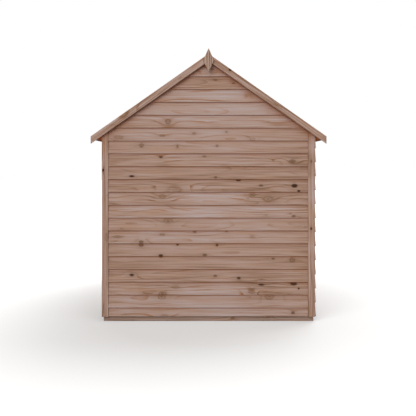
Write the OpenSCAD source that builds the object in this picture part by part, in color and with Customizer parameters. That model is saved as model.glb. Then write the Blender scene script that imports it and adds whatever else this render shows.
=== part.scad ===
// Wooden garden shed with an apex roof, lapped boards on framed walls and a ledged and braced door.
// Millimetres, +Z up. The plain gable faces -Y, the door gable faces +Y.
// The origin lies on the ground in the middle of the plan.

/* [Floor] */
// Width of the floor, along the gables
floor_w = 1800; // [1660:10:2400]
// Length of the floor, from gable to gable
floor_l = 2400; // [1600:10:3600]
// Thickness of the floor boards
deck_t = 12; // [9:1:22]
// Height of a bearer under the floor
bearer_h = 52; // [36:1:75]
// Width of a bearer
bearer_w = 45; // [32:1:75]
// Number of bearers
bearer_n = 6; // [3:1:8]

/* [Wall frames] */
// How far the side walls stop below the head of the doorway
wall_drop = 134; // [60:1:200]
// Face width of a stud or rail
stud_w = 45; // [35:1:60]
// Depth of a stud or rail, through the wall
stud_d = 28; // [24:1:45]
// Face width of a stud at a corner
corner_w = 70; // [62:1:90]
// How far the frames stand out past the edge of the floor
frame_out = 2; // [0:0.5:6]
// Number of studs between the ends of a side wall
side_stud_n = 3; // [1:1:6]

/* [Cladding] */
// Thickness of a lapped board
board_t = 8; // [6:0.5:12]
// How far a board laps over the one below
board_lap = 12; // [8:1:20]
// Height that shows of each board on the gables
gable_cover = 110; // [90:1:140]
// Height that shows of the lowest board on the gables
gable_first = 75; // [60:1:140]
// Height that shows of each board on the side walls
side_cover = 120; // [90:1:140]
// Height that shows of the lowest board on the side walls
side_first = 120; // [60:1:140]
// How far the boards hang down past the top of the floor
clad_drop = 21; // [10:1:32]

/* [Corner strips] */
// Width of the strip on the right of a gable
strip_w = 58; // [45:0.5:66]
// Width of the two strips side by side on the left of a gable
pair_w = 55.5; // [40:0.5:64]
// How far a gable's strip stands proud of the boards that butt against it
strip_proud = 2; // [1:0.5:8]
// How far the strips hang down past the boards
strip_drop = 4; // [0:0.5:10]
// Thickness of a strip on the left wall
strip_t = 12; // [8:1:16]
// Width of a strip on the left wall
side_strip_w = 34; // [25:1:60]

/* [Roof] */
// Pitch of the roof
pitch = 35; // [31:0.5:42]
// Thickness of the roof boards
roof_t = 16; // [10:1:22]
// How far the roof boards reach past the side frames
eaves_reach = 97; // [40:1:160]
// How far the roof boards reach past the gable boards
verge_reach = 5; // [1:0.5:140]
// Thickness of the felt
felt_t = 3; // [2:0.5:4]
// How far the felt turns down at the eaves
felt_turn = 24; // [10:1:60]
// How far the ridge felt reaches each side of the ridge
cap_reach = 300; // [150:10:450]
// Width of the ridge beam
ridge_w = 28; // [22:1:45]
// Depth of the ridge beam
ridge_h = 70; // [45:1:120]
// Depth of a purlin, down from the roof boards
purlin_h = 45; // [28:1:70]
// Width of a purlin
purlin_w = 28; // [22:1:45]

/* [Bargeboards] */
// Width of a bargeboard
barge_w = 51.5; // [40:0.5:90]
// Thickness of a bargeboard
barge_t = 18; // [14:1:22]
// How far a bargeboard stands up past the roof boards
barge_up = 6.5; // [6:0.5:16]
// How far a bargeboard reaches past the roof boards at the eaves
barge_past = 7; // [4:1:30]
// Width of a finial
finial_w = 90; // [60:1:120]
// Height of a finial
finial_h = 203; // [150:1:260]
// Height of a finial's tip over the bargeboards
finial_rise = 45; // [20:1:60]
// Thickness of a finial
finial_t = 14; // [10:1:22]

/* [Door] */
// Width between the door posts
door_w = 760; // [680:10:860]
// Height of the doorway, floor to header
door_h = 1700; // [1600:10:2100]
// Gap round the door
door_gap = 4; // [2:0.5:8]
// Thickness of the door boards
door_t = 16; // [12:1:22]
// Number of door boards
door_n = 8; // [6:1:10]
// Depth of the groove between door boards
groove = 4; // [2:0.5:6]
// Width of a ledge or brace
ledge_w = 95; // [70:1:120]
// Thickness of a ledge or brace
ledge_t = 22; // [16:1:24]
// Height of the threshold over the floor
sill_h = 18; // [10:1:30]
// Length of a hinge strap
strap_l = 300; // [200:10:400]
// Thickness of the hinge and hasp plates
plate_t = 3; // [2:0.5:4]

/* [Hidden] */
$fn = 32;
hx = floor_w / 2 + frame_out;
hy = floor_l / 2 + frame_out;
floor_z = bearer_h + deck_t;
clad_z = floor_z - clad_drop;
rail_z = floor_z + stud_w;
eaves_z = floor_z + door_h - wall_drop;
rise = tan(pitch);
fall = 1 / cos(pitch);

// Height of the underside of the roof boards at a distance from the ridge
function under(x) = eaves_z + (hx - abs(x)) * rise;
// Height of a plane parallel to the roof, a distance over that underside
function over(x, t) = under(x) + t * fall;
// Height of the lower edge of the sloping top rails
function rail_low(x) = under(x) - stud_w * fall;

// Angle at which a board leans when it lies flat on the one below
function lean(cover) = asin(board_t / cover);
// How far the boards stand out from the frame
function stand_out(cover) = (cover + board_lap) * tan(lean(cover)) + board_t * cos(lean(cover));
// Height of the back top edge of a board
function board_top(i, cover, first) =
  clad_z + first + i * cover + board_lap - board_t * sin(lean(cover));
// Face height of a board; the lowest one is ripped to width
function board_h(i, cover, first) = (i == 0 ? first : cover) + board_lap;
// The step through a board's thickness
function step_of(cover) = board_t * [cos(lean(cover)), sin(lean(cover))];
// Back bottom edge of a board, as [out from the frame, up]
function low_back(i, cover, first) =
  [board_h(i, cover, first) * tan(lean(cover)), board_top(i, cover, first) - board_h(i, cover, first)];
// Outline of a wall of n lapped boards: up the faces, then down the backs
function lapped(n, cover, first) = concat(
  [for (i = [0 : n - 1]) each [low_back(i, cover, first), low_back(i, cover, first) + step_of(cover)]],
  [for (i = [n - 1 : -1 : 0])
    each [[0, board_top(i, cover, first)] + step_of(cover), [0, board_top(i, cover, first)]]]
);

gable_out = stand_out(gable_cover);
side_out = stand_out(side_cover);
gable_n = ceil((under(0) - clad_z - gable_first) / gable_cover) + 1;
side_n = ceil((under(hx) - clad_z - side_first) / side_cover) + 1;
// Planes of the gable, counted from the middle
lap_y = hy + gable_out;
roof_y = lap_y + verge_reach;
barge_y = roof_y + barge_t;
roof_x = hx + eaves_reach;
barge_x = roof_x + barge_past;
barge_top = roof_t + barge_up;
strip_face = lap_y + strip_proud;
strip_z = clad_z - strip_drop;
side_end = hy - side_strip_w;
// Edges of a gable's strips, counted from the middle
left_in = hx + strip_t - pair_w;
right_out = hx + board_t - 0.5;
right_in = right_out - strip_w;
// Doorway
post_x = door_w / 2;
casing_x = post_x + stud_w;
head_z = floor_z + door_h;
lintel_z = head_z + stud_w;
door_x = post_x - door_gap;
door_z0 = clad_z + 8;
door_z1 = head_z - door_gap;
door_y = hy + door_t;
ledge_x = door_x - 14;
ledges = [floor_z + 190, floor_z + door_h * 0.5, head_z - 190];
purlin_x = hx * 0.5;

// Turns the door gable's +Y shapes to the plain gable
module plain() {
  mirror([0, 1, 0])
    children();
}

// Turns right-hand shapes to the left
module left() {
  mirror([1, 0, 0])
    children();
}

// A flat shape drawn in XZ, its outer face at y, going inward by depth
module upright(y, depth, points) {
  translate([0, y, 0])
    rotate([90, 0, 0])
      linear_extrude(height = depth)
        polygon(points);
}

// A section drawn in XZ, running the whole way from -y to +y
module along(y, points) {
  upright(y, 2 * y, points);
}

// Room under the roof boards
module under_roof() {
  far = barge_x + 50;
  along(barge_y + 200, [[-far, -10], [far, -10], [far, under(far)], [0, under(0)], [-far, under(far)]]);
}

// Lapped gable boards between x0 and x1 and over z0, cut to the slope of the roof
module gable_boards(x0, x1, z0) {
  intersection() {
    translate([x0, hy, 0])
      rotate([90, 0, 90])
        linear_extrude(height = x1 - x0)
          polygon(lapped(gable_n, gable_cover, gable_first));
    upright(lap_y + 5, gable_out + 10, [
      [-hx - 5, z0],
      [hx + 5, z0],
      [hx + 5, under(hx + 5)],
      [0, under(0)],
      [-hx - 5, under(hx + 5)]
    ]);
  }
}

// Lapped side boards, a half length from the middle to each end
module side_boards(half) {
  intersection() {
    translate([hx, half, 0])
      rotate([90, 0, 0])
        linear_extrude(height = 2 * half)
          polygon(lapped(side_n, side_cover, side_first));
    under_roof();
  }
}

// A gable stud that stands on z0 and is cut to the sloping rail, between x0 and x1 on one side of the ridge
module gable_stud(x0, x1, z0) {
  upright(hy, stud_d, [[x0, z0], [x1, z0], [x1, rail_low(x1)], [x0, rail_low(x0)]]);
}

// The middle stud of a gable, from z0 up to the ridge
module king_post(z0) {
  half = stud_w / 2;
  upright(hy, stud_d, [[-half, z0], [half, z0], [half, under(half)], [0, under(0)], [-half, under(half)]]);
}

// The two sloping rails at the top of a gable
module top_rails() {
  half = stud_w / 2;
  for (s = [1, -1])
    upright(hy, stud_d, [
      [s * half, under(half)],
      [s * hx, under(hx)],
      [s * hx, rail_low(hx)],
      [s * half, rail_low(half)]
    ]);
}

// Bottom and top rails of a side wall
module side_rails() {
  inner = hx - stud_d;
  low = under(hx) - stud_w;
  along(hy - stud_d, [[inner, floor_z], [hx, floor_z], [hx, rail_z], [inner, rail_z]]);
  along(hy - stud_d, [[inner, low], [hx, low], [hx, under(hx)], [inner, under(inner)]]);
}

// Studs of a side wall, evenly spaced
module side_studs() {
  span = hy - stud_d - stud_w / 2;
  for (i = [0 : side_stud_n + 1])
    translate([hx - stud_d, -span + 2 * span * i / (side_stud_n + 1) - stud_w / 2, rail_z])
      cube([stud_d, stud_w, under(hx) - stud_w - rail_z]);
}

// A corner strip on a gable, its top cut to the roof, or to the bargeboard where that would stand in its way
module gable_strip(x0, x1) {
  low = verge_reach < strip_proud ? barge_top - barge_w : 0;
  upright(strip_face, strip_face - hy, [[x0, strip_z], [x1, strip_z], [x1, over(x1, low)], [x0, over(x0, low)]]);
}

// The corner strips of a gable, which its boards butt against; those on the left cover the edge of the left wall's
// strip, and the one on the right is scribed to the backs of the right wall's boards, which run past it
module gable_strips() {
  gable_strip(-hx - strip_t, -left_in);
  difference() {
    gable_strip(right_in, right_out);
    side_boards(strip_face + 1);
  }
}

// One bargeboard, plumb cut at the ridge and at the eaves
module bargeboard() {
  upright(barge_y, barge_t, [
    [0, over(0, barge_top)],
    [barge_x, over(barge_x, barge_top)],
    [barge_x, over(barge_x, barge_top - barge_w)],
    [0, over(0, barge_top - barge_w)]
  ]);
}

// A diamond board over the joint of the bargeboards
module finial() {
  tip = over(0, barge_top) + finial_rise;
  mid = tip - finial_h / 2;
  upright(barge_y + finial_t, finial_t, [
    [0, tip],
    [finial_w / 2, mid],
    [0, tip - finial_h],
    [-finial_w / 2, mid]
  ]);
}

// Roof boards of one slope
module roof_boards() {
  along(roof_y, [
    [0, under(0)],
    [roof_x, under(roof_x)],
    [roof_x, over(roof_x, roof_t)],
    [0, over(0, roof_t)]
  ]);
}

// Felt of one slope, turned down over the edge of the roof boards
module felt() {
  edge = roof_x + felt_t;
  drop = over(roof_x, roof_t) - felt_turn;
  along(roof_y, [
    [0, over(0, roof_t)],
    [roof_x, over(roof_x, roof_t)],
    [roof_x, drop],
    [edge, drop],
    [edge, over(edge, roof_t + felt_t)],
    [0, over(0, roof_t + felt_t)]
  ]);
}

// Timber that shows and is painted by the weather alike
module timber() {
  color("#a78a7b")
    children();
}

// Sawn timber of the frames
module sawn() {
  color("#b59a80")
    children();
}

// Black ironwork
module iron() {
  color("#26262a")
    children();
}

// Bearers across the width, the outer two under the gables
module floor_bearers() {
  run = floor_l - bearer_w;
  sawn()
    for (i = [0 : bearer_n - 1])
      translate([-floor_w / 2, -floor_l / 2 + run * i / (bearer_n - 1), 0])
        cube([floor_w, bearer_w, bearer_h]);
}

module floor_deck() {
  sawn()
    translate([-floor_w / 2, -floor_l / 2, bearer_h])
      cube([floor_w, floor_l, deck_t]);
}

module plain_cladding() {
  timber()
    plain()
      gable_boards(-left_in, right_in, 0);
}

module plain_bottom_rail() {
  sawn()
    plain()
      upright(hy, stud_d, [[-hx, floor_z], [hx, floor_z], [hx, rail_z], [-hx, rail_z]]);
}

// Corner studs, one stud in the middle of each half and the middle stud
module plain_studs() {
  sawn()
    plain() {
      for (s = [1, -1]) {
        gable_stud(s * hx, s * (hx - corner_w), rail_z);
        gable_stud(s * (hx / 2 + stud_w / 2), s * (hx / 2 - stud_w / 2), rail_z);
      }
      king_post(rail_z);
    }
}

module plain_top_rails() {
  sawn()
    plain()
      top_rails();
}

module door_cladding_left() {
  timber()
    gable_boards(-left_in, -casing_x, 0);
}

module door_cladding_right() {
  timber()
    gable_boards(casing_x, right_in, 0);
}

module door_cladding_top() {
  timber()
    gable_boards(-casing_x, casing_x, lintel_z);
}

module door_bottom_rails() {
  sawn()
    for (s = [1, -1])
      upright(hy, stud_d, [
        [s * casing_x, floor_z],
        [s * hx, floor_z],
        [s * hx, rail_z],
        [s * casing_x, rail_z]
      ]);
}

// Corner studs, the posts beside the doorway and the short stud over it
module door_studs() {
  sawn() {
    for (s = [1, -1]) {
      gable_stud(s * hx, s * (hx - corner_w), rail_z);
      gable_stud(s * post_x, s * casing_x, floor_z);
    }
    king_post(lintel_z);
  }
}

module door_header() {
  sawn()
    upright(hy, stud_d, [[-post_x, head_z], [post_x, head_z], [post_x, lintel_z], [-post_x, lintel_z]]);
}

module door_top_rails() {
  sawn()
    top_rails();
}

// Boards between the two corner strips of the left wall
module left_cladding() {
  timber()
    left()
      side_boards(side_end);
}

module left_rails() {
  sawn()
    left()
      side_rails();
}

module left_studs() {
  sawn()
    left()
      side_studs();
}

// Boards that run past the corner strips, out to the laps of both gables
module right_cladding() {
  timber()
    side_boards(lap_y);
}

module right_rails() {
  sawn()
    side_rails();
}

module right_studs() {
  sawn()
    side_studs();
}

module plain_strips() {
  timber()
    plain()
      gable_strips();
}

module door_strips() {
  timber()
    gable_strips();
}

// Strips that close the ends of the left wall
module left_wall_strips() {
  timber()
    left()
      for (s = [0, 1])
        mirror([0, s, 0])
          upright(hy, side_strip_w, [
            [hx, strip_z],
            [hx + strip_t, strip_z],
            [hx + strip_t, under(hx + strip_t)],
            [hx, under(hx)]
          ]);
}

module roof_boards_left() {
  sawn()
    left()
      roof_boards();
}

module roof_boards_right() {
  sawn()
    roof_boards();
}

// Beam under the ridge, bevelled to both slopes
module ridge_beam() {
  half = ridge_w / 2;
  sawn()
    along(hy - stud_d, [
      [-half, under(half) - ridge_h],
      [half, under(half) - ridge_h],
      [half, under(half)],
      [0, under(0)],
      [-half, under(half)]
    ]);
}

// One purlin halfway up each slope
module purlins() {
  far = purlin_x + purlin_w;
  sawn()
    for (s = [1, -1])
      along(hy - stud_d, [
        [s * purlin_x, under(purlin_x)],
        [s * far, under(far)],
        [s * far, under(far) - purlin_h],
        [s * purlin_x, under(far) - purlin_h]
      ]);
}

module felt_left() {
  color("#45474a")
    left()
      felt();
}

module felt_right() {
  color("#45474a")
    felt();
}

// Strip of felt over the ridge
module felt_ridge() {
  low = roof_t + felt_t;
  top = low + felt_t;
  color("#45474a")
    along(roof_y, [
      [0, over(0, low)],
      [cap_reach, over(cap_reach, low)],
      [cap_reach, over(cap_reach, top)],
      [0, over(0, top)],
      [-cap_reach, over(cap_reach, top)],
      [-cap_reach, over(cap_reach, low)]
    ]);
}

module plain_barge_left() {
  timber()
    plain()
      left()
        bargeboard();
}

module plain_barge_right() {
  timber()
    plain()
      bargeboard();
}

module door_barge_left() {
  timber()
    left()
      bargeboard();
}

module door_barge_right() {
  timber()
    bargeboard();
}

module plain_finial() {
  timber()
    plain()
      finial();
}

module door_finial() {
  timber()
    finial();
}

// Upright boards with grooved joints
module door_boards() {
  pace = 2 * door_x / door_n;
  timber()
    translate([0, hy, door_z0])
      linear_extrude(height = door_z1 - door_z0)
        polygon(concat(
          [[-door_x, 0], [door_x, 0], [door_x, door_t]],
          [for (i = [door_n - 1 : -1 : 1]) each [
            [-door_x + i * pace + groove, door_t],
            [-door_x + i * pace, door_t - groove],
            [-door_x + i * pace - groove, door_t]
          ]],
          [[-door_x, door_t]]
        ));
}

// Ledges across the back of the door
module door_ledges() {
  sawn()
    for (z = ledges)
      translate([-ledge_x, hy - ledge_t, z - ledge_w / 2])
        cube([2 * ledge_x, ledge_t, ledge_w]);
}

// Braces that rise from the hinge side
module door_braces() {
  cut = ledge_w * 1.35;
  sawn()
    for (i = [0, 1])
      upright(hy, ledge_t, [
        [ledge_x, ledges[i] + ledge_w / 2],
        [ledge_x - cut, ledges[i] + ledge_w / 2],
        [-ledge_x, ledges[i + 1] - ledge_w / 2],
        [-ledge_x + cut, ledges[i + 1] - ledge_w / 2]
      ]);
}

// Strap hinges, one over each ledge
module door_hinges() {
  pin = post_x - door_gap / 2;
  pin_r = 5;
  iron()
    for (z = ledges)
      union() {
        upright(door_y + plate_t, plate_t, [
          [pin, z - 19],
          [pin, z + 19],
          [pin - strap_l, z + 9],
          [pin - strap_l - 9, z],
          [pin - strap_l, z - 9]
        ]);
        upright(door_y + plate_t, plate_t, [
          [pin, z - 55],
          [pin + 32, z - 55],
          [pin + 32, z + 55],
          [pin, z + 55]
        ]);
        translate([pin, door_y + pin_r, z - 55])
          cylinder(r = pin_r, h = 110);
      }
}

// Slotted hasp, fixed to the door and reaching over the casing
module door_hasp() {
  z = ledges[1] + 120;
  iron()
    union() {
      upright(door_y + plate_t, plate_t, [
        [-door_x + 70, z - 16],
        [-door_x + 70, z + 16],
        [-door_x + 30, z + 16],
        [-door_x + 30, z - 16]
      ]);
      difference() {
        upright(door_y + 2 * plate_t, plate_t, [
          [-door_x + 45, z - 16],
          [-door_x + 45, z + 16],
          [-post_x - 40, z + 16],
          [-post_x - 40, z - 16]
        ]);
        upright(door_y + 3 * plate_t, 3 * plate_t, [
          [-post_x - 17, z - 14],
          [-post_x - 17, z + 14],
          [-post_x - 26, z + 14],
          [-post_x - 26, z - 14]
        ]);
      }
    }
}

// Staple on the casing, through the slot of the hasp
module door_staple() {
  z = ledges[1] + 120;
  mid = -post_x - 21.5;
  iron()
    union() {
      translate([mid - 14, door_y, z - 22])
        cube([28, plate_t, 44]);
      translate([mid, door_y + plate_t + 6, z])
        rotate([0, 90, 0])
          rotate_extrude(angle = 180)
            translate([10, 0])
              circle(r = 3);
      for (s = [1, -1])
        translate([mid, door_y, z + s * 10])
          rotate([-90, 0, 0])
            cylinder(r = 3, h = plate_t + 6);
    }
}

// Upright casings on the posts
module door_casings() {
  timber()
    for (s = [1, -1])
      upright(door_y, door_t, [
        [s * post_x, clad_z],
        [s * casing_x, clad_z],
        [s * casing_x, lintel_z],
        [s * post_x, lintel_z]
      ]);
}

module door_head_casing() {
  timber()
    upright(door_y, door_t, [[-post_x, head_z], [post_x, head_z], [post_x, lintel_z], [-post_x, lintel_z]]);
}

module door_threshold() {
  sawn()
    translate([-post_x, hy - stud_d, floor_z])
      cube([2 * post_x, stud_d, sill_h]);
}

floor_bearers();
floor_deck();
plain_cladding();
plain_bottom_rail();
plain_studs();
plain_top_rails();
door_cladding_left();
door_cladding_right();
door_cladding_top();
door_bottom_rails();
door_studs();
door_header();
door_top_rails();
left_cladding();
left_rails();
left_studs();
right_cladding();
right_rails();
right_studs();
plain_strips();
door_strips();
left_wall_strips();
roof_boards_left();
roof_boards_right();
ridge_beam();
purlins();
felt_left();
felt_right();
felt_ridge();
plain_barge_left();
plain_barge_right();
door_barge_left();
door_barge_right();
plain_finial();
door_finial();
door_boards();
door_ledges();
door_braces();
door_hinges();
door_hasp();
door_staple();
door_casings();
door_head_casing();
door_threshold();
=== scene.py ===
"""A wooden apex garden shed, in the order in which it is put together: floor, wall frames, lapped boards,
corner strips, door, roof boards, felt, bargeboards and finials."""
import math
import random

import bpy
from mathutils import Matrix, Vector


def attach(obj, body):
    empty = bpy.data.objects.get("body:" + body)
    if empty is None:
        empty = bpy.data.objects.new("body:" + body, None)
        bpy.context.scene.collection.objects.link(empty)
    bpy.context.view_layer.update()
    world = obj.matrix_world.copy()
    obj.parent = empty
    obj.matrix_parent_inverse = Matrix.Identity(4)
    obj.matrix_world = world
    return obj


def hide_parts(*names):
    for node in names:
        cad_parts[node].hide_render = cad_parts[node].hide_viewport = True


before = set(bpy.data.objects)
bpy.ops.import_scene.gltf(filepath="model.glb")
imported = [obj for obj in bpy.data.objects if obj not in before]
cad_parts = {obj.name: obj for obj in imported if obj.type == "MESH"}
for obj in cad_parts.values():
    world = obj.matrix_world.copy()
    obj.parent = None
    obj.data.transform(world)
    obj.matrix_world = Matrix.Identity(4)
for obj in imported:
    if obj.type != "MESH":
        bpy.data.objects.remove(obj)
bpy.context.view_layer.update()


# Floor. Six sawn softwood bearers lie across the width, and the deck is nailed down over them.
# Only the outer face of the first bearer shows, as a strip under the lowest board of the gable.
MM = 0.001
# A colour attribute holds nothing below zero, so the tones of timbers are kept in it with this much added.
TONE_BASE = 5.0
# A mix of two colours has this setting, and gives its result at this output.
BLEND = {"data_type": "RGBA", "out": 2}


def linear(code):
    """Turns an sRGB hex colour into the linear colour that a shader takes."""
    parts = [int(code[k:k + 2], 16) / 255 for k in (1, 3, 5)]
    return [p / 12.92 if p <= 0.04045 else ((p + 0.055) / 1.055) ** 2.4 for p in parts] + [1.0]


def add(tree, kind, inputs={}, out=0, **settings):
    """Adds a node and gives back one of its outputs. Inputs hold values, or outputs of nodes to link."""
    added = tree.nodes.new(kind)
    for name, value in settings.items():
        setattr(added, name, value)
    for socket, value in inputs.items():
        if isinstance(value, bpy.types.NodeSocket):
            tree.links.new(value, added.inputs[socket])
        else:
            added.inputs[socket].default_value = value
    return added.outputs[out]


def softwood(name, deep, middle, pale, along=None, streaks=1.0):
    """Softwood: growth rings of a slanted log, cut flat, so they run out in flames and bend round knots."""
    wood = bpy.data.materials.new(name)
    wood.use_nodes = True
    tree = wood.node_tree
    # Rings 3 mm apart would be lost in the render, so they are drawn 21 mm apart, and the fibre, which is
    # finer than a millimetre, 5 and 11 mm wide. The heart of the log comes and goes over about a metre.
    ring, heart_run = 21 * MM, 1100 * MM
    sizes = {"sway": (320 * MM, 34 * MM, 2), "patch": (620 * MM, 32 * MM, 3), "fibre": (300 * MM, 5 * MM, 3),
             "streak": (460 * MM, 11 * MM, 2), "show": (420 * MM, 60 * MM, 2), "hue": (600 * MM, 50 * MM, 1)}
    if along:
        place = add(tree, "ShaderNodeTexCoord", out="Object")
        turn = {"x": (0, 0, 0), "y": (0, 0, -math.pi / 2), "z": (0, math.pi / 2, 0)}[along]
        grain = add(tree, "ShaderNodeMapping", {"Vector": place, "Rotation": turn})
    else:
        grain = add(tree, "ShaderNodeUVMap", uv_map="grain")
    lengthways, upwards, inwards = add(tree, "ShaderNodeSeparateXYZ", {0: grain}).node.outputs
    across = add(tree, "ShaderNodeMath", {0: upwards, 1: inwards}, operation="ADD")
    noise = {}
    for part, (long, wide, detail) in sizes.items():
        scale = (1 / long, 1 / wide, 1 / wide)
        scaled = add(tree, "ShaderNodeVectorMath", {0: grain, 1: scale}, operation="MULTIPLY")
        noise[part] = add(tree, "ShaderNodeTexNoise", {"Vector": scaled, "Scale": 1.0, "Detail": detail})

    # Each timber carries its tone, how strongly its grain shows, and the radius, darkness and length of the
    # knots to the left and to the right of a place.
    knots, carried = [], []
    for side in ("left", "right"):
        noted = add(tree, "ShaderNodeAttribute", out="Vector", attribute_name=side + "_knot")
        radius, dark, reach = add(tree, "ShaderNodeSeparateXYZ", {0: noted}).node.outputs
        offset = add(tree, "ShaderNodeUVMap", uv_map=side + "_offset")
        long = add(tree, "ShaderNodeMath", {0: radius, 1: reach}, operation="MULTIPLY")
        size = add(tree, "ShaderNodeCombineXYZ", {0: long, 1: radius, 2: 1.0})
        at = add(tree, "ShaderNodeVectorMath", {0: offset, 1: size}, operation="DIVIDE")
        along_x = add(tree, "ShaderNodeSeparateXYZ", {0: offset})
        knots.append({"at": at, "radius": radius, "dark": dark, "x": along_x})
        carried.append(noted.node.outputs["Alpha"])
    figure, tone = (1.0, 0.0) if along else carried
    # The grain flows round a knot, a stain lies about it, and a tail runs out of it. From one knot to the
    # next the hold of the first fades and that of the second grows.
    reaches = {"flow": (0.3, 0.5, 1.0), "stain": (0.45, 0.65, 1.0), "tail": (0.2, 2.4, 1.0)}
    apart = add(tree, "ShaderNodeMath", {0: knots[0]["x"], 1: knots[1]["x"]}, operation="SUBTRACT")
    share = add(tree, "ShaderNodeMath", {0: knots[0]["x"], 1: apart}, operation="DIVIDE")
    for knot, none, full in zip(knots, (1.0, 0.0), (0.0, 1.0)):
        hold = add(tree, "ShaderNodeMapRange", {0: share, 1: none, 2: full}, interpolation_type="SMOOTHSTEP")
        for part, narrow in reaches.items():
            near = add(tree, "ShaderNodeVectorMath", {0: knot["at"], 1: narrow}, operation="MULTIPLY")
            near = add(tree, "ShaderNodeVectorMath", {0: near, 1: near}, operation="DOT_PRODUCT", out="Value")
            near = add(tree, "ShaderNodeMath", {0: near, 1: -1.0}, operation="MULTIPLY")
            near = add(tree, "ShaderNodeMath", {0: near}, operation="EXPONENT")
            knot[part] = add(tree, "ShaderNodeMath", {0: near, 1: hold}, operation="MULTIPLY")

    # The distance from the heart of the log, which runs a little deeper or shallower along the board.
    run = add(tree, "ShaderNodeMath", {0: lengthways, 1: 1 / heart_run}, operation="MULTIPLY")
    slant = add(tree, "ShaderNodeTexNoise", {"W": run, "Scale": 1.0, "Detail": 1.0}, noise_dimensions="1D")
    depth = add(tree, "ShaderNodeMath", {0: slant, 1: 0.15, 2: -0.03}, operation="MULTIPLY_ADD")
    square = add(tree, "ShaderNodeMath", {0: across, 1: across}, operation="MULTIPLY")
    square = add(tree, "ShaderNodeMath", {0: depth, 1: depth, 2: square}, operation="MULTIPLY_ADD")
    heart = add(tree, "ShaderNodeMath", {0: square}, operation="SQRT")
    heart = add(tree, "ShaderNodeMath", {0: noise["sway"], 1: 14 * MM, 2: heart}, operation="MULTIPLY_ADD")
    for knot in knots:
        bulge = add(tree, "ShaderNodeMath", {0: knot["radius"], 1: 1.2}, operation="MULTIPLY")
        heart = add(tree, "ShaderNodeMath", {0: knot["flow"], 1: bulge, 2: heart}, operation="MULTIPLY_ADD")
    year = add(tree, "ShaderNodeMath", {0: heart, 1: 1 / ring}, operation="MULTIPLY")
    year = add(tree, "ShaderNodeMath", {0: year}, operation="FRACT")
    late = add(tree, "ShaderNodeMapRange", {0: year, 1: 0.6, 2: 0.96}, interpolation_type="SMOOTHSTEP")
    show = add(tree, "ShaderNodeMapRange", {0: noise["show"], 1: 0.45, 2: 0.62, 3: 0.08, 4: 0.9})
    for knot in knots:
        broad = add(tree, "ShaderNodeMapRange", {0: knot["radius"], 1: 11 * MM, 2: 24 * MM, 3: 0.0, 4: 0.6})
        show = add(tree, "ShaderNodeMath", {0: knot["flow"], 1: broad, 2: show}, operation="MULTIPLY_ADD",
                   use_clamp=True)
    flame = add(tree, "ShaderNodeMath", {0: late, 1: show}, operation="MULTIPLY")
    flame = add(tree, "ShaderNodeMath", {0: flame, 1: figure}, operation="MULTIPLY")

    # Colour along the fibre, from brown to pale, with warmer lengths and the dark lines of the rings, which
    # are more orange on paler wood.
    tone_step = 0.22
    start = -0.03 - (0.0 if along else tone_step * TONE_BASE)
    level = add(tree, "ShaderNodeMath", {0: tone, 1: tone_step, 2: start}, operation="MULTIPLY_ADD")
    level = add(tree, "ShaderNodeMath", {0: noise["patch"], 1: level}, operation="ADD")
    swing = -1.05 * streaks
    for part, much in (("streak", 1.2 * streaks), ("fibre", 0.9 * streaks)):
        swing = add(tree, "ShaderNodeMath", {0: noise[part], 1: much, 2: swing}, operation="MULTIPLY_ADD")
    level = add(tree, "ShaderNodeMath", {0: swing, 1: figure, 2: level}, operation="MULTIPLY_ADD")
    # The darkest streaks go below the deep colour, which lies at zero.
    shade = add(tree, "ShaderNodeMapRange", {0: level, 1: -0.5, 2: 1.0})
    shades = add(tree, "ShaderNodeValToRGB", {0: shade})
    ramp = shades.node.color_ramp.elements
    ramp[0].color = [0.66 * part for part in linear(deep)[:3]] + [1.0]
    ramp[1].color = linear(pale)
    ramp.new(1 / 3).color = linear(deep)
    ramp.new(2 / 3).color = linear(middle)
    warm = add(tree, "ShaderNodeMapRange", {0: noise["hue"], 1: 0.54, 2: 0.75, 3: 0.0, 4: 0.28})
    warmed = add(tree, "ShaderNodeMix", {0: warm, 6: shades, 7: linear("#a67d5d")}, **BLEND)
    fresh = add(tree, "ShaderNodeMapRange", {0: level, 1: 0.4, 2: 0.75})
    line = add(tree, "ShaderNodeMix", {0: fresh, 6: linear("#6f543f"), 7: linear("#966540")}, **BLEND)
    flamed = add(tree, "ShaderNodeMix", {0: flame, 6: warmed, 7: line}, **BLEND)

    # Live knots are olive discs that run out raggedly along the grain, and dead ones are nearly black.
    colour = flamed
    for knot in knots:
        strength = add(tree, "ShaderNodeMapRange", {0: knot["dark"], 1: 0.0, 2: 0.8})
        dead = add(tree, "ShaderNodeMapRange", {0: knot["dark"], 1: 0.5, 2: 0.85})
        olive = add(tree, "ShaderNodeMix", {0: fresh, 6: linear("#6a5038"), 7: linear("#7a5238")}, **BLEND)
        resin = add(tree, "ShaderNodeMix", {0: dead, 6: olive, 7: linear("#3a2418")}, **BLEND)
        faint = add(tree, "ShaderNodeMath", {0: knot["stain"], 1: knot["tail"]}, operation="MAXIMUM")
        faint = add(tree, "ShaderNodeMath", {0: faint, 1: strength}, operation="MULTIPLY")
        faint = add(tree, "ShaderNodeMath", {0: faint, 1: 0.45}, operation="MULTIPLY")
        colour = add(tree, "ShaderNodeMix", {0: faint, 6: colour, 7: linear("#735338")}, **BLEND)
        ragged = add(tree, "ShaderNodeVectorMath", {0: knot["at"]}, operation="LENGTH", out="Value")
        for part in ("streak", "fibre", "sway"):
            ragged = add(tree, "ShaderNodeMath", {0: noise[part], 1: 0.9, 2: ragged},
                         operation="MULTIPLY_ADD")
        disc = add(tree, "ShaderNodeMapRange", {0: ragged, 1: 2.7, 2: 1.85}, interpolation_type="SMOOTHSTEP")
        disc = add(tree, "ShaderNodeMath", {0: disc, 1: strength}, operation="MULTIPLY")
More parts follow.
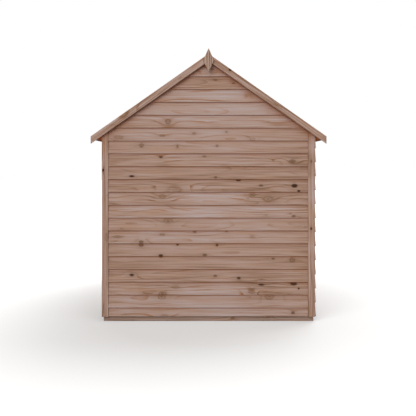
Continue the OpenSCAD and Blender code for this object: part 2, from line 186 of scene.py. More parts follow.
        # Its own rings, which hardly show on a dead one.
        turns = add(tree, "ShaderNodeMath", {0: ragged, 1: 9.0}, operation="MULTIPLY")
        turns = add(tree, "ShaderNodeMath", {0: turns}, operation="COSINE")
        lowest = add(tree, "ShaderNodeMapRange", {0: dead, 3: 0.2, 4: 1.0})
        turns = add(tree, "ShaderNodeMapRange", {0: turns, 1: -1.0, 2: 0.3, 3: lowest, 4: 1.15})
        disc = add(tree, "ShaderNodeMath", {0: disc, 1: turns}, operation="MULTIPLY")
        colour = add(tree, "ShaderNodeMix", {0: disc, 6: colour, 7: resin}, **BLEND)

    # Painted shade: just under each lap and below the bargeboards, where shade falls, the wood is painted
    # a deep red brown.
    if not along:
        below = add(tree, "ShaderNodeUVMap", uv_map="painted_shade_uv")
        below = add(tree, "ShaderNodeSeparateXYZ", {0: below}).node.outputs
        reach = add(tree, "ShaderNodeMath", {0: noise["patch"], 1: -14 * MM}, operation="MULTIPLY")
        lap = add(tree, "ShaderNodeMath", {0: below[0], 1: reach}, operation="DIVIDE")
        lap = add(tree, "ShaderNodeMath", {0: lap}, operation="EXPONENT")
        eave = add(tree, "ShaderNodeMath", {0: below[1], 1: -1 / (34 * MM)}, operation="MULTIPLY")
        eave = add(tree, "ShaderNodeMath", {0: eave}, operation="EXPONENT")
        eave = add(tree, "ShaderNodeMath", {0: eave, 1: 0.75}, operation="MULTIPLY")
        painted_shade_mask = add(tree, "ShaderNodeMath", {0: lap, 1: eave}, operation="MAXIMUM", use_clamp=True)
        colour = add(tree, "ShaderNodeMix", {0: painted_shade_mask, 6: colour, 7: linear("#874925")}, **BLEND)

    shader = tree.nodes["Principled BSDF"]
    shader.inputs["Specular IOR Level"].default_value = 0.15
    tree.links.new(colour, shader.inputs["Base Color"])
    rough = add(tree, "ShaderNodeMapRange", {0: noise["fibre"], 3: 0.68, 4: 0.86})
    tree.links.new(rough, shader.inputs["Roughness"])
    relief = add(tree, "ShaderNodeMath", {0: noise["fibre"], 1: 0.5, 2: flame}, operation="MULTIPLY_ADD")
    bump = add(tree, "ShaderNodeBump", {"Strength": 0.25, "Distance": 0.6 * MM, "Height": relief})
    tree.links.new(bump, shader.inputs["Normal"])
    return wood


def tone_at(stations, x, up):
    """Tone of a timber at a place along it, from stations with the tones of its lower and upper edges."""
    before = max((s for s in stations if s[0] <= x), default=stations[0])
    after = min((s for s in stations if s[0] >= x), default=stations[-1])
    share = (x - before[0]) / (after[0] - before[0]) if after[0] > before[0] else 0.0
    low, high = (a + share * (b - a) for a, b in zip(before[1:], after[1:]))
    return low + up * (high - low)


def saw_timber(start, end, low, high, thick, arris, rng, stations, knots=(), shift=None, cuts=(),
               covered=None, figure=1.0):
    """Saws a timber that lies along X with its face at y = 0, and draws its grain, knots and painted shade on
    its maps. A cut is a place and a direction, and takes off what lies beyond."""
    bpy.ops.object.select_all(action="DESELECT")
    middle = ((start + end) / 2, thick / 2, (low + high) / 2)
    bpy.ops.mesh.primitive_cube_add(size=1.0, calc_uvs=False, location=middle,
                                    scale=(end - start, thick, high - low))
    timber = bpy.context.object
    bpy.ops.object.transform_apply(location=True, rotation=True, scale=True)
    bpy.ops.object.mode_set(mode="EDIT")
    for place, away in cuts:
        bpy.ops.mesh.select_all(action="SELECT")
        bpy.ops.mesh.bisect(plane_co=place, plane_no=away, use_fill=True, clear_outer=True)
    bpy.ops.mesh.select_all(action="SELECT")
    bpy.ops.mesh.bevel(offset=arris, affect="EDGES")
    for split in [knot[0] for knot in knots] + [station[0] for station in stations]:
        if start + arris < split < end - arris:
            bpy.ops.mesh.select_all(action="SELECT")
            bpy.ops.mesh.bisect(plane_co=(split, 0, 0), plane_no=(1, 0, 0))
    bpy.ops.object.mode_set(mode="OBJECT")
    mesh = timber.data
    for name in ("grain", "painted_shade_uv", "left_offset", "right_offset"):
        mesh.uv_layers.new(name=name)
    for name in ("left_knot", "right_knot"):
        mesh.attributes.new(name, "FLOAT_COLOR", "CORNER")
    grain, painted_shade_uv = (mesh.uv_layers[name].data for name in ("grain", "painted_shade_uv"))
    shift = shift or (rng.uniform(-40, 40), rng.uniform(-60, 60) * MM - (low + high) / 2)
    # Past the outermost knots, the next ones stand far off.
    far_left, far_right = ((x, 0.0, 1.0 * MM, 0.0, 1.0) for x in (start - 9.0, end + 9.0))
    for face in mesh.polygons:
        left = max((knot for knot in knots if knot[0] <= face.center.x), default=far_left)
        right = min((knot for knot in knots if knot[0] > face.center.x), default=far_right)
        end_grain = 1.0 if abs(face.normal.x) > 0.9 else 0.0
        for corner in face.loop_indices:
            spot = mesh.vertices[mesh.loops[corner].vertex_index].co
            tone = tone_at(stations, spot.x, (spot.z - low) / (high - low)) - 0.5 * end_grain
            grain[corner].uv = (spot.x + shift[0], spot.z + 0.7 * spot.y + shift[1])
            # How far below the lap edge each corner lies, for the painted shade under the laps.
            painted_shade_uv[corner].uv = (covered - spot.z if covered and not end_grain else 1.0, 1.0)
            for side, knot, carried in (("left", left, figure), ("right", right, TONE_BASE + tone)):
                mesh.uv_layers[side + "_offset"].data[corner].uv = (spot.x - knot[0], spot.z - knot[1])
                mesh.attributes[side + "_knot"].data[corner].color = (*knot[2:], carried)
    return timber


def grow_knots(rng, start, end, low, high, apart):
    """Knots as they come in a sawn board: now and then, small, and a few of them dark."""
    knots = []
    x = start + rng.uniform(0.1, 1.0) * apart
    while x < end - 30 * MM:
        radius = rng.choice((6, 7, 8, 10, 12, 16)) * MM
        height = rng.uniform(low, high)
        dark = rng.choice((0.3, 0.45, 0.6, 0.95))
        knots.append((x, height, radius, dark, rng.uniform(1.1, 1.9)))
        x += rng.uniform(0.5, 1.6) * apart
    return knots


def take_up(*pieces):
    """Selects these pieces and nothing else, with the first one active."""
    bpy.ops.object.select_all(action="DESELECT")
    for piece in pieces:
        piece.select_set(True)
    bpy.context.view_layer.objects.active = pieces[0]


def set_timber(timber, along, inward, corner):
    """Sets a timber down: its length runs along one direction and its face looks away from another."""
    along, inward = Vector(along), Vector(inward)
    placed = Matrix((along, inward, along.cross(inward))).transposed().to_4x4()
    placed.translation = Vector(corner)
    timber.matrix_world = placed
    take_up(timber)
    bpy.ops.object.transform_apply(location=True, rotation=True, scale=True)
    return timber


def fix(name, timbers, material, slot, *nodes):
    """Nails timbers together as one piece of the shed, which stands for the given solids."""
    take_up(*timbers)
    piece = timbers[0]
    if len(timbers) > 1:
        bpy.ops.object.join()
    piece.name = piece.data.name = name
    piece.data.materials.clear()
    piece.data.materials.append(material)
    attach(piece, "root")
    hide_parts(*nodes)
    return piece


# Sawn softwood that has greyed a little: duller and browner than the planed boards.
sawn_face = softwood("sawn_softwood", "#7a6051", "#927b6e", "#a69088")
bearer_w, bearer_h, bearer_n, bearer_arris = 45 * MM, 52 * MM, 6, 2 * MM
half_x, half_y = 900 * MM, 1200 * MM
bearers = []
for i in range(bearer_n):
    rng = random.Random(f"bearer {i}")
    y = -half_y + i * (2 * half_y - bearer_w) / (bearer_n - 1)
    knots = grow_knots(rng, -half_x, half_x, 0, bearer_h, 420 * MM)
    tone = rng.uniform(-0.5, 0.5)
    bearer = saw_timber(-half_x, half_x, 0, bearer_h, bearer_w, bearer_arris, rng, [(0, tone, tone)], knots)
    bearers.append(set_timber(bearer, (1, 0, 0), (0, 1, 0), (0, y, 0)))
fix("bearers", bearers, sawn_face, "frame_timber", "floor_bearers")


# Wall frames, ridge beam and purlins. Sawn softwood, butted and nailed, hidden behind the boards and under
# the roof. The grain of each timber runs along its length.
frame_nodes = {
    "x": ("plain_bottom_rail", "plain_top_rails", "door_bottom_rails", "door_top_rails", "door_header",
          "door_threshold", "door_ledges"),
    "y": ("floor_deck", "left_rails", "right_rails", "ridge_beam", "purlins"),
    "z": ("plain_studs", "door_studs", "left_studs", "right_studs", "door_braces"),
}
for along, nodes in frame_nodes.items():
    frame_wood = softwood("sawn_frame_softwood_" + along, "#8a6c55", "#a08570", "#b39d8b", along)
    for node in nodes:
        timber = bpy.data.objects[node]
        timber.data.materials.clear()
        timber.data.materials.append(frame_wood)


# Lapped boards of the four walls. Thin planed softwood boards are nailed to the frames from the bottom up,
# each over the top edge of the board below, so every board leans out a little and throws a fine shadow line.
# Planed softwood that the weather has turned a pinkish brown, with paler and browner streaks.
planed_board = softwood("planed_softwood", "#7a5a46", "#a08475", "#aa9b98")
board_t, board_lap, board_foot, board_arris = 8 * MM, 12 * MM, 43 * MM, 1.2 * MM
frame_x, frame_y = 902 * MM, 1202 * MM
gable_cover, gable_first, gable_rows = 110 * MM, 75 * MM, 20
side_cover, side_first, side_rows = 120 * MM, 120 * MM, 13
pitch = math.radians(35)
eaves_z = 1630 * MM
casing_x, lintel_z = 425 * MM, 1809 * MM
barge_w, barge_up = 51.5 * MM, 22.5 * MM


def trim_under_roof(piece, gap=0.3 * MM):
    """Cuts a piece along the underside of both roof slopes."""
    take_up(piece)
    bpy.ops.object.mode_set(mode="EDIT")
    for side in (1, -1):
        bpy.ops.mesh.select_all(action="SELECT")
        upwards = (side * math.sin(pitch), 0, math.cos(pitch))
        bpy.ops.mesh.bisect(plane_co=(side * frame_x, 0, eaves_z - gap), plane_no=upwards, use_fill=True,
                            clear_outer=True)
    bpy.ops.object.mode_set(mode="OBJECT")


def lap_boards(turn, face, ends, cover, first, count, tones={}, marked={}, figures={}, doorway=None):
    """Boards of one wall that faces the way that turn gives, from the lowest row to the top one."""
    lean = math.asin(board_t / cover)
    facing = Matrix.Rotation(math.radians(turn), 3, "Z")
    along, inward = facing @ Vector((1, 0, 0)), facing @ Vector((0, math.cos(lean), -math.sin(lean)))
    boards = []
    for row in range(count):
        rng = random.Random(f"wall {turn} row {row}")
        rise = (first if row == 0 else cover) + board_lap
        out = rise * math.tan(lean) + board_t * math.cos(lean)
        foot = board_foot + (first + (row - 1) * cover if row else 0)
        high = rise / math.cos(lean)
        grown = grow_knots(rng, *ends, 12 * MM, cover - 10 * MM, 330 * MM)
        knots = marked.get(row, grown)
        board_rng = random.Random(f"tone {turn} {row}")
        own = board_rng.uniform(-1.0, 1.4)
        figure = figures.get(row, board_rng.uniform(0.5, 1.2))
        stations = [(x, own + rng.uniform(-0.4, 0.4), own + rng.uniform(-0.4, 0.4))
                    for x in (-0.9, -0.3, 0.3, 0.9)]
        stations = tones.get(row, stations)
        shift = (rng.uniform(-40, 40), rng.uniform(-60, 60) * MM - high / 2)
        spans = [(*ends, 0.0)]
        if doorway and foot < doorway[1]:
            spans = [(ends[0], -doorway[0], 0.0), (doorway[0], ends[1], 0.0)]
            if foot + rise > doorway[1]:
                spans.append((-doorway[0], doorway[0], doorway[1] - foot))
        for start, end, low in spans:
            board = saw_timber(start, end, low, high, board_t, board_arris, rng, stations, knots, shift,
                               covered=high - board_lap / math.cos(lean), figure=figure)
            corner = facing @ Vector((0, -(face + out), foot))
            boards.append(set_timber(board, along, inward, corner))
            trim_under_roof(board)
    return boards


def paint_shade_under_barge(piece):
    """Notes on a gable's piece how far each corner of it lies below the lower edges of the bargeboards, for
    the painted shade there.
    """
    take_up(piece)
    bpy.ops.object.mode_set(mode="EDIT")
    bpy.ops.mesh.select_all(action="SELECT")
    bpy.ops.mesh.bisect(plane_co=(0, 0, 0), plane_no=(1, 0, 0))
    bpy.ops.object.mode_set(mode="OBJECT")
    painted_shade_uv = piece.data.uv_layers["painted_shade_uv"].data
    for corner in piece.data.loops:
        spot = piece.data.vertices[corner.vertex_index].co
        roof = eaves_z + (frame_x - abs(spot.x)) * math.tan(pitch)
        below_barge = (roof - spot.z) * math.cos(pitch) - (barge_w - barge_up)
        painted_shade_uv[corner.index].uv = (painted_shade_uv[corner.index].uv[0], below_barge)


# Knots of the photographed gable by row from the bottom, each as its distance from the middle of the wall,
# its height on the board and its radius in millimetres, its darkness, and how far it is drawn out.
gable_knots = {
    0: [(723, 31, 11, 0.7, 1.5), (-378, 11, 14, 0.4, 2.5)],
    1: [(-402, 92, 24, 0.5, 1.5), (522, 91, 28, 0.5, 1.6)],
    2: [(452, 86, 9, 0.8, 2.6), (730, 95, 18, 0.95, 1.8), (772, 53, 8, 0.82, 1.2), (368, 30, 22, 0.46, 1.7),
        (-282, 65, 16, 0.38, 2.0), (-396, 8, 20, 0.55, 1.5)],
    3: [(-658, 60, 12, 1.0, 1.8), (57, 53, 8, 0.68, 2.0), (258, 33, 11, 0.8, 2.0), (452, 22, 9, 0.35, 2.2)],
    4: [(553, 90, 9, 0.66, 1.6), (717, 77, 20, 0.58, 1.5), (-409, 107, 10, 0.8, 1.5)],
    5: [(-577, 98, 20, 0.7, 1.2), (-267, 104, 11, 0.8, 1.2), (72, 96, 11, 0.77, 1.1), (-409, 5, 11, 0.8, 1.8),
        (-33, 9, 12, 0.66, 1.8)],
    6: [(-775, 58, 12, 0.5, 4.0), (-396, 77, 11, 0.55, 2.4), (-120, 103, 11, 0.68, 1.6),
        (153, 107, 10, 0.75, 1.8), (375, 56, 14, 0.35, 1.7), (-577, 10, 17, 0.66, 1.4)],
    7: [(-348, 86, 30, 0.45, 1.4), (828, 34, 11, 0.22, 1.3), (-745, 17, 6, 0.36, 2.5)],
    8: [(729, 15, 10, 0.66, 1.7), (701, 35, 9, 0.4, 1.5), (492, 23, 8, 0.34, 2.2)],
    9: [(-396, 74, 24, 0.45, 1.5), (375, 89, 20, 0.48, 1.6), (510, 50, 26, 0.4, 1.9), (338, 58, 7, 0.5, 1.3)],
    10: [(254, 102, 11, 1.0, 2.2), (449, 56, 9, 0.7, 2.4), (736, 54, 16, 0.95, 1.6), (772, 8, 8, 0.9, 1.4),
         (-276, 19, 18, 0.35, 2.6)],
    11: [(-658, 25, 11, 1.0, 1.9), (60, 16, 9, 0.66, 1.6)],
    12: [(-409, 80, 11, 0.76, 1.6), (-36, 86, 9, 0.6, 2.0), (553, 55, 9, 0.55, 1.5),
         (717, 42, 20, 0.62, 1.5)],
    13: [(-575, 70, 20, 0.58, 1.25), (-267, 63, 13, 0.6, 0.75), (72, 65, 11, 0.57, 1.3)],
    14: [(-125, 63, 11, 0.54, 1.5), (153, 74, 9, 0.55, 1.5), (-396, 43, 11, 0.55, 2.8),
         (-768, 27, 13, 0.5, 3.6), (376, 13, 14, 0.3, 2.0)],
    15: [(-348, 52, 24, 0.57, 1.3)],
    16: [],
    17: [(343, 56, 14, 0.42, 1.3)],
    18: [(58, 80, 9, 0.6, 2.5), (213, 53, 8, 0.7, 1.8)],
    19: [],
}
gable_knots = {row: [(x * MM, z * MM, r * MM, dark, reach) for x, z, r, dark, reach in knots]
               for row, knots in gable_knots.items()}
# Tones of the same boards at places along them, at the lower and upper edges: paler and browner lengths,
# and most boards darker towards their ends at the corner strips.
gable_tones = {
    0: [(-860, 0.2, 0.1), (-700, 0.5, 0.4), (-417, 0.8, 0.7), (-320, 0.9, 0.9), (-130, 1.2, 1.1),
        (280, 1.0, 0.9), (480, 0.6, 0.8), (700, 0.6, 0.5), (860, 0.3, 0.4)],
    1: [(-860, 0.6, 0.3), (-700, 1.0, 0.8), (-320, 0.9, 0.8), (-110, 1.6, 0.4), (200, 1.6, 0.2),
        (420, 0.7, 0.6), (700, 0.5, 0.1), (860, -0.3, -0.3)],
    2: [(-860, 0.4, -0.6), (-740, 1.2, -0.3), (-620, 1.0, -0.2), (-560, 0.2, -0.2), (-300, 0.4, -0.3),
        (-100, 1.7, -0.8), (330, 1.7, -1.0), (400, 0.4, -0.6), (700, 0.1, -0.6), (860, -0.8, -1.3)],
    3: [(-860, -1.0, -0.2), (-700, -0.6, -0.2), (-300, 0.1, -0.3), (0, -0.2, -0.4), (300, -0.3, -0.5),
        (700, -0.2, -0.2), (860, -0.7, -0.8)],
    4: [(-860, -0.8, -0.5), (-700, -0.3, -0.1), (-300, -0.2, 0.2), (0, 0, 0.3), (500, -0.3, 0.1),
        (700, -0.5, -0.2), (860, -1.3, -0.9)],
    5: [(-860, 0.2, -0.3), (-700, 0.2, 0.4), (-417, 0.1, 0.1), (0, 0.5, 0.3), (300, 0.2, 0.1),
        (500, 0.1, 0.1), (700, -0.2, -0.3), (860, -1.0, -1.1)],
    6: [(-860, -0.12, -0.06), (-620, 0.5, 0.3), (-570, 0.8, 1.3), (-380, 0.6, 1), (0, 0.7, 1.5),
        (500, 0.5, 0.2), (700, 0.2, -0.12), (860, -0.24, -0.39)],
    7: [(-860, 0.1, 0.3), (-700, 0.1, 0.6), (-300, 0.2, 0.7), (200, 0.1, 0.7), (700, 0, 0.4),
        (860, -0.2, 0.5)],
    8: [(-860, 0.2, -0.06), (-700, 0.4, 0.6), (-300, 0.6, 0.7), (-110, 2, 0.8), (330, 1.4, 0.9),
        (480, 0.9, 0.5), (660, 1.6, 0.3), (860, -0.18, -0.24)],
    9: [(-860, -0.12, 0.6), (-700, 0.4, 0.8), (-300, 0.3, 0.8), (-110, 0.5, 2.2), (230, 0.6, 2.3),
        (320, 0.1, 0.2), (700, -0.03, -0.24), (860, -0.42, -0.57)],
    10: [(-860, -0.7, -0.7), (-700, -0.2, -0.3), (-300, 0.1, 0), (0, 0.2, -0.4), (300, 0.1, -0.4),
         (640, -0.2, -0.6), (860, -0.7, -1.8)],
    11: [(-860, -0.3, -0.5), (-700, -0.1, 0), (-300, 0, -0.4), (0, 0, -0.1), (300, -0.2, -0.3),
         (500, 0, -0.5), (860, -0.4, -1.1)],
    12: [(-860, -0.4, 0.2), (-700, -0.3, 0.3), (-300, 0.2, 0.6), (0, 0.2, 0.5), (350, 0, 0.6),
         (700, -0.2, 0.1), (860, -0.6, -0.8)],
    13: [(-860, -0.27, -0.09), (-700, -0.03, 0.4), (-300, 0.2, 0.9), (0, 0.3, 1.2), (500, 0.2, 0.3),
         (700, -0.24, -0.09), (860, -0.69, -0.48)],
    14: [(-860, 0.5, 0), (-560, 1, 0.5), (-200, 1.1, 0.7), (0, 1.2, 0.6), (600, 0.4, 0.1),
         (860, -0.24, -0.24)],
    15: [(-700, 0, 0.5), (-500, 0, 1), (-200, 0.3, 2.2), (0, 0.5, 2.2), (300, 0.4, 1.2), (700, 0.3, 0.6)],
    16: [(-600, 1.4, 0.9), (0, 1.5, 1), (500, 1.1, 0.1), (620, 0.4, 0.2)],
    17: [(-450, 0.6, 0.3), (-200, 1, 1.7), (250, 1, 1.6), (450, 0.3, 0.2)],
    18: [(-300, -0.03, -0.06), (0, 0.1, -0.09), (300, 0.3, -0.06)],
    19: [(-100, 0.5, 0.2), (100, 0.5, 0.2)],
}
gable_tones = {row: [(x * MM, low, high) for x, low, high in stations]
               for row, stations in gable_tones.items()}
# How strongly the grain of the same boards shows: some are nearly plain.
gable_figures = {0: 0.9, 1: 0.6, 2: 1.2, 3: 0.9, 4: 0.5, 5: 0.4, 6: 0.65, 7: 0.6, 8: 1.15, 9: 1.0,
                 10: 1.1, 11: 0.6, 12: 1.0, 13: 0.45, 14: 0.65, 15: 0.95, 16: 0.6, 17: 1.1}
left_end, right_end = -858.5 * MM, 851.5 * MM
boards = lap_boards(0, frame_y, (left_end, right_end), gable_cover, gable_first, gable_rows, gable_tones,
                    gable_knots, gable_figures)
plain_gable = fix("plain_gable_boards", boards, planed_board, "cladding_timber", "plain_cladding")
boards = lap_boards(180, frame_y, (-right_end, -left_end), gable_cover, gable_first, gable_rows,
                    doorway=(casing_x, lintel_z))
door_gable = fix("door_gable_boards", boards, planed_board, "cladding_timber", "door_cladding_left",
                 "door_cladding_right", "door_cladding_top")
for gable in (plain_gable, door_gable):
    paint_shade_under_barge(gable)
lap_y = 1218.88 * MM
boards = lap_boards(90, frame_x, (-lap_y, lap_y), side_cover, side_first, side_rows)
right_wall = fix("right_wall_boards", boards, planed_board, "cladding_timber", "right_cladding")
side_end = 1168 * MM
boards = lap_boards(-90, frame_x, (-side_end, side_end), side_cover, side_first, side_rows)
fix("left_wall_boards", boards, planed_board, "cladding_timber", "left_cladding")


# Corner strips. Planed softwood battens nailed upright to the corner studs, two side by side on the left of a
# gable and a broad one on the right, which is scribed to the backs of the right wall's boards. The gables'
# boards butt against them, and a thinner one closes each end of the left wall.
# Planed softwood trim, in the same weathered colour as the boards, with the grain standing out more.
planed_trim = softwood("planed_trim_softwood", "#84624e", "#a08475", "#ae9d98", streaks=1.7)
strip_face, strip_foot, strip_top, trim_arris = 1220.88 * MM, 39 * MM, 1690 * MM, 1.5 * MM
strip_t = strip_face - frame_y
left_strip_t, left_strip_face = 12 * MM, 914 * MM


def stand_strip(name, turn, edge, width, thick, face, stations=(), knots=()):
    """An upright strip whose face looks the way that turn gives, with one edge at the given place."""
    facing = Matrix.Rotation(math.radians(turn), 3, "Z")
    rng = random.Random(name)
    knots = knots or grow_knots(rng, strip_foot, strip_top, 0, width, 500 * MM)
    stations = stations or [(z, rng.uniform(-0.4, 0.4), rng.uniform(-0.4, 0.4)) for z in (0.2, 0.8, 1.4)]
    strip = saw_timber(strip_foot, strip_top, 0, width, thick, trim_arris, rng, stations, knots)
    return set_timber(strip, (0, 0, 1), facing @ Vector((0, 1, 0)), facing @ Vector((edge, -face, 0)))


# Each strip of a gable as its right-hand edge and width, with the knots and tones of the photographed ones.
gable_strips = ((-894 * MM, 20 * MM), (-858.5 * MM, 35.5 * MM), (909.5 * MM, 58 * MM))
strip_knots = ([(1.295, 7 * MM, 11 * MM, 0.95, 1.2)], [(0.72, 16 * MM, 14 * MM, 0.4, 3.0)],
               [(1.371, 32 * MM, 9 * MM, 0.62, 1.3), (0.795, 32 * MM, 9 * MM, 0.8, 1.3)])
strip_tones = ([(0.2, 0.1, 0.1), (1.2, 0.0, 0.1)], [(0.2, 0.1, -0.2), (0.7, -0.4, -0.4), (1.1, 0.2, 0.0)],
               [(0.10, -0.2, -0.3), (0.56, -0.2, -0.3), (0.64, 1.0, 0.6), (0.72, 0, -0.2), (0.98, -0.1, -0.3),
                (1.06, 1.0, 0.7), (1.20, 0.8, 0.5), (1.26, -0.3, -0.4), (1.42, -0.2, -0.3), (1.48, 1.0, 0.7),
                (1.56, 0.6, 0.3), (1.62, -0.2, -0.3)])
# A slightly longer copy of the right wall's boards, to scribe the broad strips with.
template = bpy.data.objects.new("scribing_template", right_wall.data.copy())
bpy.context.collection.objects.link(template)
template.scale.y = 1.01
strip_sets = (("plain_corner_strips", 0, "plain_strips"), ("door_corner_strips", 180, "door_strips"))
for name, turn, node in strip_sets:
    strips = []
    for (edge, width), knots, stations in zip(gable_strips, strip_knots, strip_tones):
        edge = edge if turn == 0 else width - edge
        marks = (stations, knots) if turn == 0 else ()
        strips.append(stand_strip(f"{name} {edge}", turn, edge, width, strip_t, strip_face, *marks))
        trim_under_roof(strips[-1])
    scribed = strips[-1].modifiers.new("scribe", "BOOLEAN")
    scribed.object, scribed.solver, scribed.use_self = template, "EXACT", True
    bpy.ops.object.modifier_apply(modifier="scribe")
    paint_shade_under_barge(fix(name, strips, planed_board, "trim_timber", node))
bpy.data.objects.remove(template)
strips = [stand_strip(f"left wall {edge}", -90, edge, frame_y - side_end, left_strip_t, left_strip_face)
          for edge in (-side_end, frame_y)]
trim_under_roof(fix("left_wall_corner_strips", strips, planed_trim, "trim_timber", "left_wall_strips"))


# Door casings. Planed softwood boards nailed to the posts and the header, flush with the face of the door.
# The boards of the gable butt against them at the sides and stand on the upper one.
door_face, door_t = 1218 * MM, 16 * MM
post_x, head_z, casing_w = 380 * MM, 1764 * MM, 45 * MM
casings = []
for edge in (-post_x, casing_x):
    rng = random.Random(f"casing {edge}")
    knots = grow_knots(rng, board_foot, lintel_z, 0, casing_w, 450 * MM)
    casing = saw_timber(board_foot, lintel_z, 0, casing_w, door_t, trim_arris, rng, [(0, 0.1, 0.1)], knots)
    casings.append(set_timber(casing, (0, 0, 1), (0, -1, 0), (-edge, door_face, 0)))
fix("door_side_casings", casings, planed_trim, "trim_timber", "door_casings")
rng = random.Random("head casing")
head = saw_timber(-post_x, post_x, 0, lintel_z - head_z, door_t, trim_arris, rng, [(0, 0.0, 0.0)],
                  grow_knots(rng, -post_x, post_x, 0, casing_w, 400 * MM))
fix("door_top_casing", [set_timber(head, (-1, 0, 0), (0, -1, 0), (0, door_face, head_z))], planed_trim,
    "trim_timber", "door_head_casing")


# Door. Eight tongued and grooved boards stand side by side, with a V at each joint, and are nailed to ledges
# on the back.
door_x, door_foot, door_top, door_n, door_v = 376 * MM, 51 * MM, 1760 * MM, 8, 3 * MM
boards = []
pace = 2 * door_x / door_n
for i in range(door_n):
    rng = random.Random(f"door board {i}")
    knots = grow_knots(rng, door_foot, door_top, 10 * MM, pace - 10 * MM, 380 * MM)
    stations = [(z, rng.uniform(-0.5, 0.7), rng.uniform(-0.5, 0.7)) for z in (0.2, 0.9, 1.6)]
    board = saw_timber(door_foot, door_top, 0, pace, door_t, door_v, rng, stations, knots)
    boards.append(set_timber(board, (0, 0, 1), (0, -1, 0), (-door_x + i * pace, door_face, 0)))
fix("door_leaf_boards", boards, planed_board, "cladding_timber", "door_boards")


# Door ironwork. Strap hinges, a hasp and its staple, pressed from mild steel and japanned black.
# Black japanned steel: thin glossy paint over pressed metal, a little uneven.
japanned = bpy.data.materials.new("black_japanned_steel")
japanned.use_nodes = True
tree = japanned.node_tree
place = add(tree, "ShaderNodeTexCoord", out="Object")
dimples = add(tree, "ShaderNodeTexNoise", {"Vector": place, "Scale": 1 / (6 * MM), "Detail": 3.0})
dust = add(tree, "ShaderNodeTexNoise", {"Vector": place, "Scale": 1 / (25 * MM), "Detail": 4.0})
paint = add(tree, "ShaderNodeValToRGB", {0: dust})
paint.node.color_ramp.elements[0].color = linear("#1b1b1c")
paint.node.color_ramp.elements[1].color = linear("#343231")
shader = tree.nodes["Principled BSDF"].inputs
tree.links.new(paint, shader["Base Color"])
gloss = add(tree, "ShaderNodeMapRange", {0: dust, 3: 0.3, 4: 0.55})
tree.links.new(gloss, shader["Roughness"])
skin = add(tree, "ShaderNodeBump", {"Strength": 0.12, "Distance": 0.3 * MM, "Height": dimples})
tree.links.new(skin, shader["Normal"])
for node in ("door_hinges", "door_hasp", "door_staple"):
    iron = bpy.data.objects[node]
    iron.data.materials.clear()
    iron.data.materials.append(japanned)


# Roof boards. Tongued and grooved softwood boards run the length of the roof and are nailed to the gables,
# the purlins and the ridge beam, with a fine V at each joint. The lowest one is cut plumb at the eaves.
# Softwood that the weather hasn't reached, and that has kept a strong red brown.
eaves_wood = softwood("sheltered_softwood", "#bd5a20", "#cb7030", "#d2864e")
roof_t, roof_x, roof_y = 16 * MM, 999 * MM, 1223.88 * MM
ridge_z = eaves_z + frame_x * math.tan(pitch)
slope = roof_x / math.cos(pitch)
board_n = 12
for name, turn, node in (("left_roof", 0, "roof_boards_left"), ("right_roof", 180, "roof_boards_right")):
    facing = Matrix.Rotation(math.radians(turn), 3, "Z")
    boards = []
    for i in range(board_n):
        rng = random.Random(f"{name} {i}")
        wide = slope / board_n
        knots = grow_knots(rng, -roof_y, roof_y, 0, wide, 500 * MM)
        tone = rng.uniform(-0.5, 0.5)
        eaves_cut = [((0, 0, 0), (0, math.sin(pitch), -math.cos(pitch)))] if i == 0 else ()
        board = saw_timber(-roof_y, roof_y, i * wide, (i + 1) * wide, roof_t, trim_arris, rng,
                           [(0, tone, tone)], knots, cuts=eaves_cut)
        foot = Vector((-roof_x, 0, ridge_z - roof_x * math.tan(pitch)))
        boards.append(set_timber(board, facing @ Vector((0, 1, 0)),
                                 facing @ Vector((-math.sin(pitch), 0, math.cos(pitch))), facing @ foot))
    fix(name + "_boards", boards, eaves_wood, "roof_timber", node)


# Felt. Roofing felt with a mineral grit face is rolled out over each slope and turned down over the eaves,
# and a strip of it covers the ridge. It is held by flat-headed galvanised nails along its edges.
# Bitumen felt faced with slate grit: charcoal and quite matt, speckled with paler and darker grains.
felt = bpy.data.materials.new("mineral_roofing_felt")
felt.use_nodes = True
tree = felt.node_tree
place = add(tree, "ShaderNodeTexCoord", out="Object")
# The grit is about 1 mm across, and is drawn at 7 mm so that it shows.
grit = add(tree, "ShaderNodeTexVoronoi", {"Vector": place, "Scale": 1 / (7 * MM)}, out="Color")
grains = add(tree, "ShaderNodeSeparateXYZ", {0: grit})
weather = add(tree, "ShaderNodeTexNoise", {"Vector": place, "Scale": 1 / (240 * MM), "Detail": 4.0})
level = add(tree, "ShaderNodeMath", {0: grains, 1: 0.5, 2: weather}, operation="MULTIPLY_ADD")
shades = add(tree, "ShaderNodeMapRange", {0: level, 1: 0.3, 2: 1.2})
colour = add(tree, "ShaderNodeMix", {0: shades, 6: linear("#343638"), 7: linear("#646667")}, **BLEND)
shader = tree.nodes["Principled BSDF"].inputs
tree.links.new(colour, shader["Base Color"])
matt = add(tree, "ShaderNodeMapRange", {0: grains, 3: 0.82, 4: 0.97})
tree.links.new(matt, shader["Roughness"])
sanded = add(tree, "ShaderNodeBump", {"Strength": 0.5, "Distance": 0.8 * MM, "Height": grains})
tree.links.new(sanded, shader["Normal"])
felt_t, felt_turn, cap_reach = 3 * MM, 24 * MM, 300 * MM
# The felt is held flat near its edges and swells a little between them.
felt_cuts, wave_n, held_flat, swell = 47, 7, 100 * MM, 0.3 * MM
roof_fall = 1 / math.cos(pitch)


